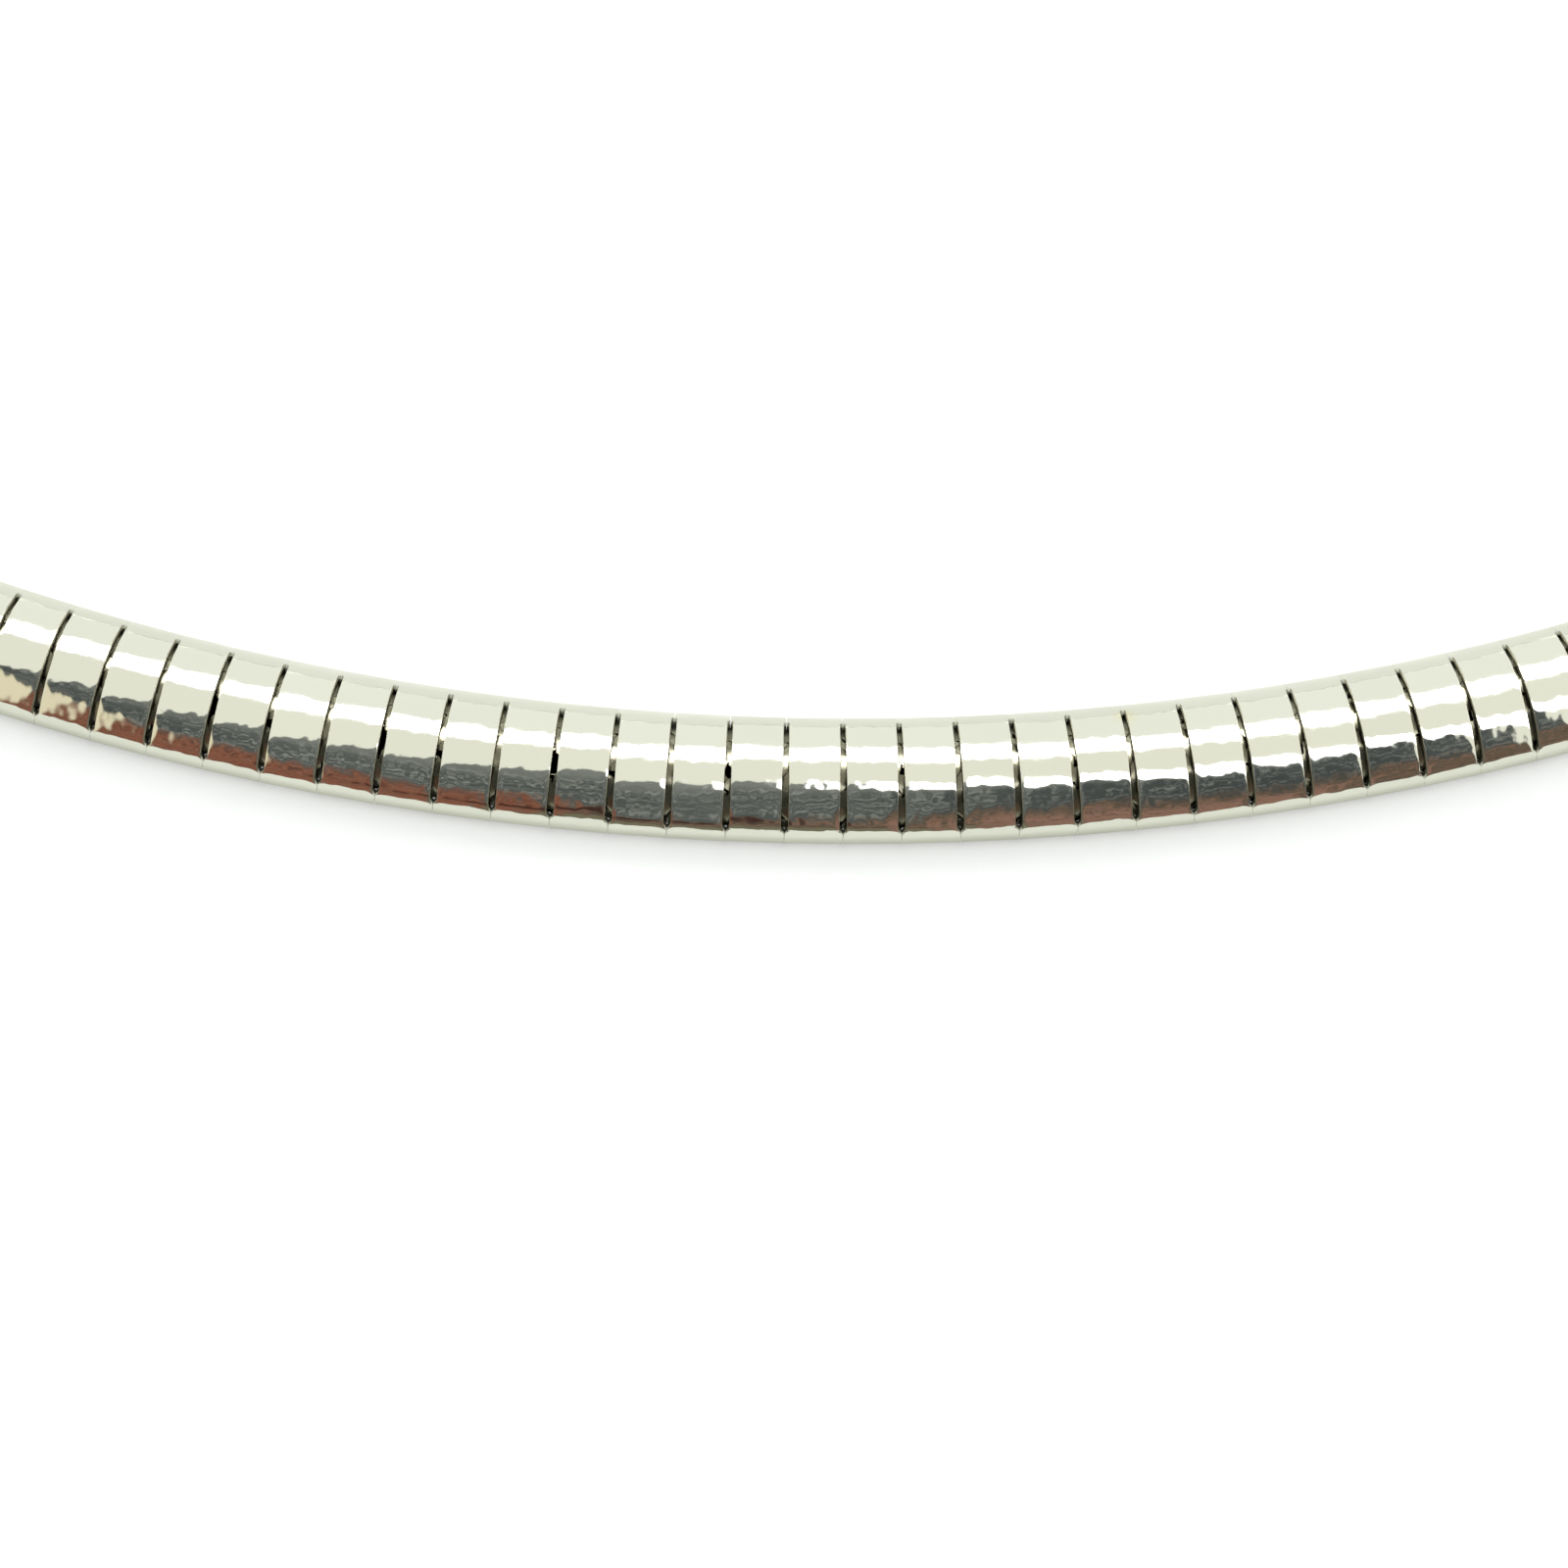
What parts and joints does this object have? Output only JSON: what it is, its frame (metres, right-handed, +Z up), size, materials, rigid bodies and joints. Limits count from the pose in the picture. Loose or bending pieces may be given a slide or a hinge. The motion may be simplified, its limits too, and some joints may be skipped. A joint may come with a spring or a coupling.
{
  "type": "omega necklace",
  "caption": "Stiff flat omega necklace: a loop of narrow domed metal plates folded round a woven core, closed at the back by a plain box clasp.",
  "frame": {"origin": "centre of the loop, on the flat surface that the necklace lies on", "axes": "+Z up out of the plane of the loop, on the domed side; -Y towards the front of the necklace and +Y towards the clasp; +X to the right of a viewer who faces the front"},
  "size_m": [0.1416, 0.1416, 0.0021],
  "materials": {
    "polished_plate": "polished silver-coloured metal, a little tarnished in the gaps",
    "woven_wire": "dull silver-coloured wire weave",
    "clasp_metal": "polished silver-coloured metal"
  },
  "bodies": {
    "root": {"plates_left": "polished_plate", "plates_right": "polished_plate", "core": "woven_wire", "clasp": "clasp_metal"}
  },
  "joints": []
}
